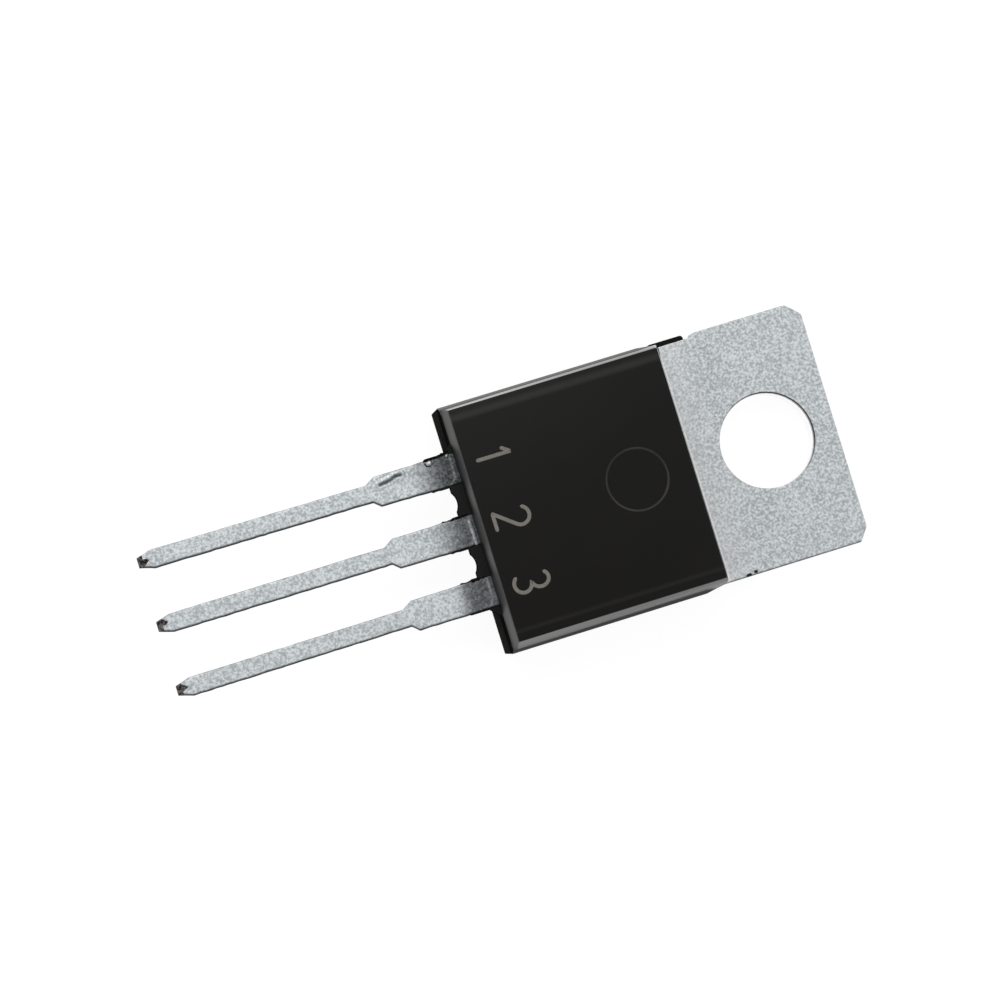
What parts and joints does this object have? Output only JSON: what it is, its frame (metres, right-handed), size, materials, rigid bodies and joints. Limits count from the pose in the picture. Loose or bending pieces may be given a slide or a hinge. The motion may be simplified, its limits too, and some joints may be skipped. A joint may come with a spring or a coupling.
{
  "type": "voltage regulator",
  "caption": "Flat moulded voltage regulator with a metal fixing tab, round fixing hole and straight leads with wide roots, for board or heatsink mounting.",
  "frame": {"origin": "on the axis of the fixing hole, on the back of the tab", "axes": "+X towards the free end of the tab, so the leads run towards -X; +Y towards the input lead's side; +Z out of the front face of the body. The part lies on its flat back, z = 0"},
  "size_m": [0.0285, 0.0102, 0.0045],
  "materials": {
    "moulding_compound": "matte",
    "tinned_copper": "matte",
    "silicon": "gloss",
    "solder": "satin",
    "bond_aluminium": "satin"
  },
  "bodies": {
    "root": {"moulded_body": "moulding_compound", "tab_with_ground_lead": "tinned_copper", "input_lead": "tinned_copper", "output_lead": "tinned_copper", "silicon_die": "silicon", "die_attach_solder": "solder", "input_bond_wire": "bond_aluminium", "output_bond_wire": "bond_aluminium", "sense_bond_wire": "bond_aluminium", "ground_bond_wire": "bond_aluminium"}
  },
  "joints": []
}
